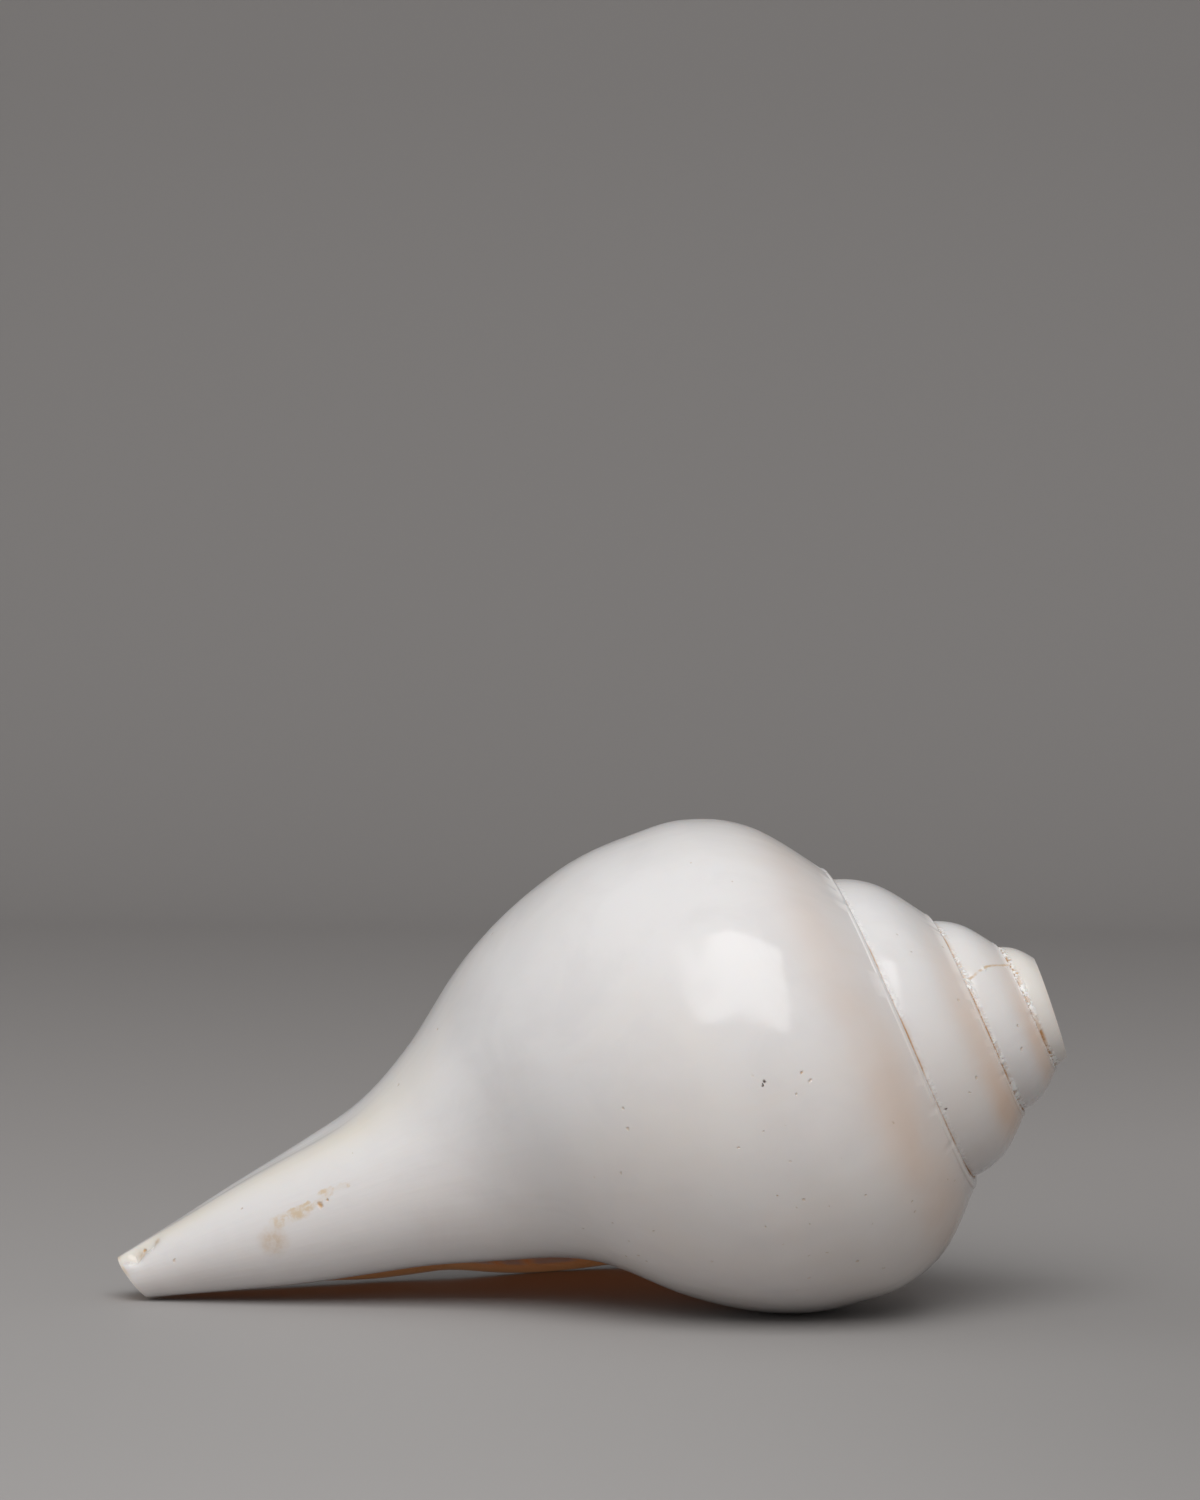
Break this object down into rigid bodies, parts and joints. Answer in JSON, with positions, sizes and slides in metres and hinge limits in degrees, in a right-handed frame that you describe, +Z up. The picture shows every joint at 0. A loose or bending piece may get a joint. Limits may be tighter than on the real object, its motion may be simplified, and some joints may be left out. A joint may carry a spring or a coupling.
{
  "type": "conch shell",
  "caption": "Polished white conch shell, right-handed spiral with long siphonal canal and flat-cut apex bored as a blowing horn, lying aperture down.",
  "frame": {"origin": "on the resting surface, below the middle of the shell's box", "axes": "+Z up, +X toward the cut apex, -X toward the siphonal tip, +Y toward the outer lip; the coiling axis rises toward +X"},
  "size_m": [0.168, 0.102, 0.0861],
  "materials": {
    "shell": "hand-polished porcelain-white shell, faint peach bands, brown suture lines, small pits"
  },
  "bodies": {
    "root": {"shell": "shell"}
  },
  "joints": []
}
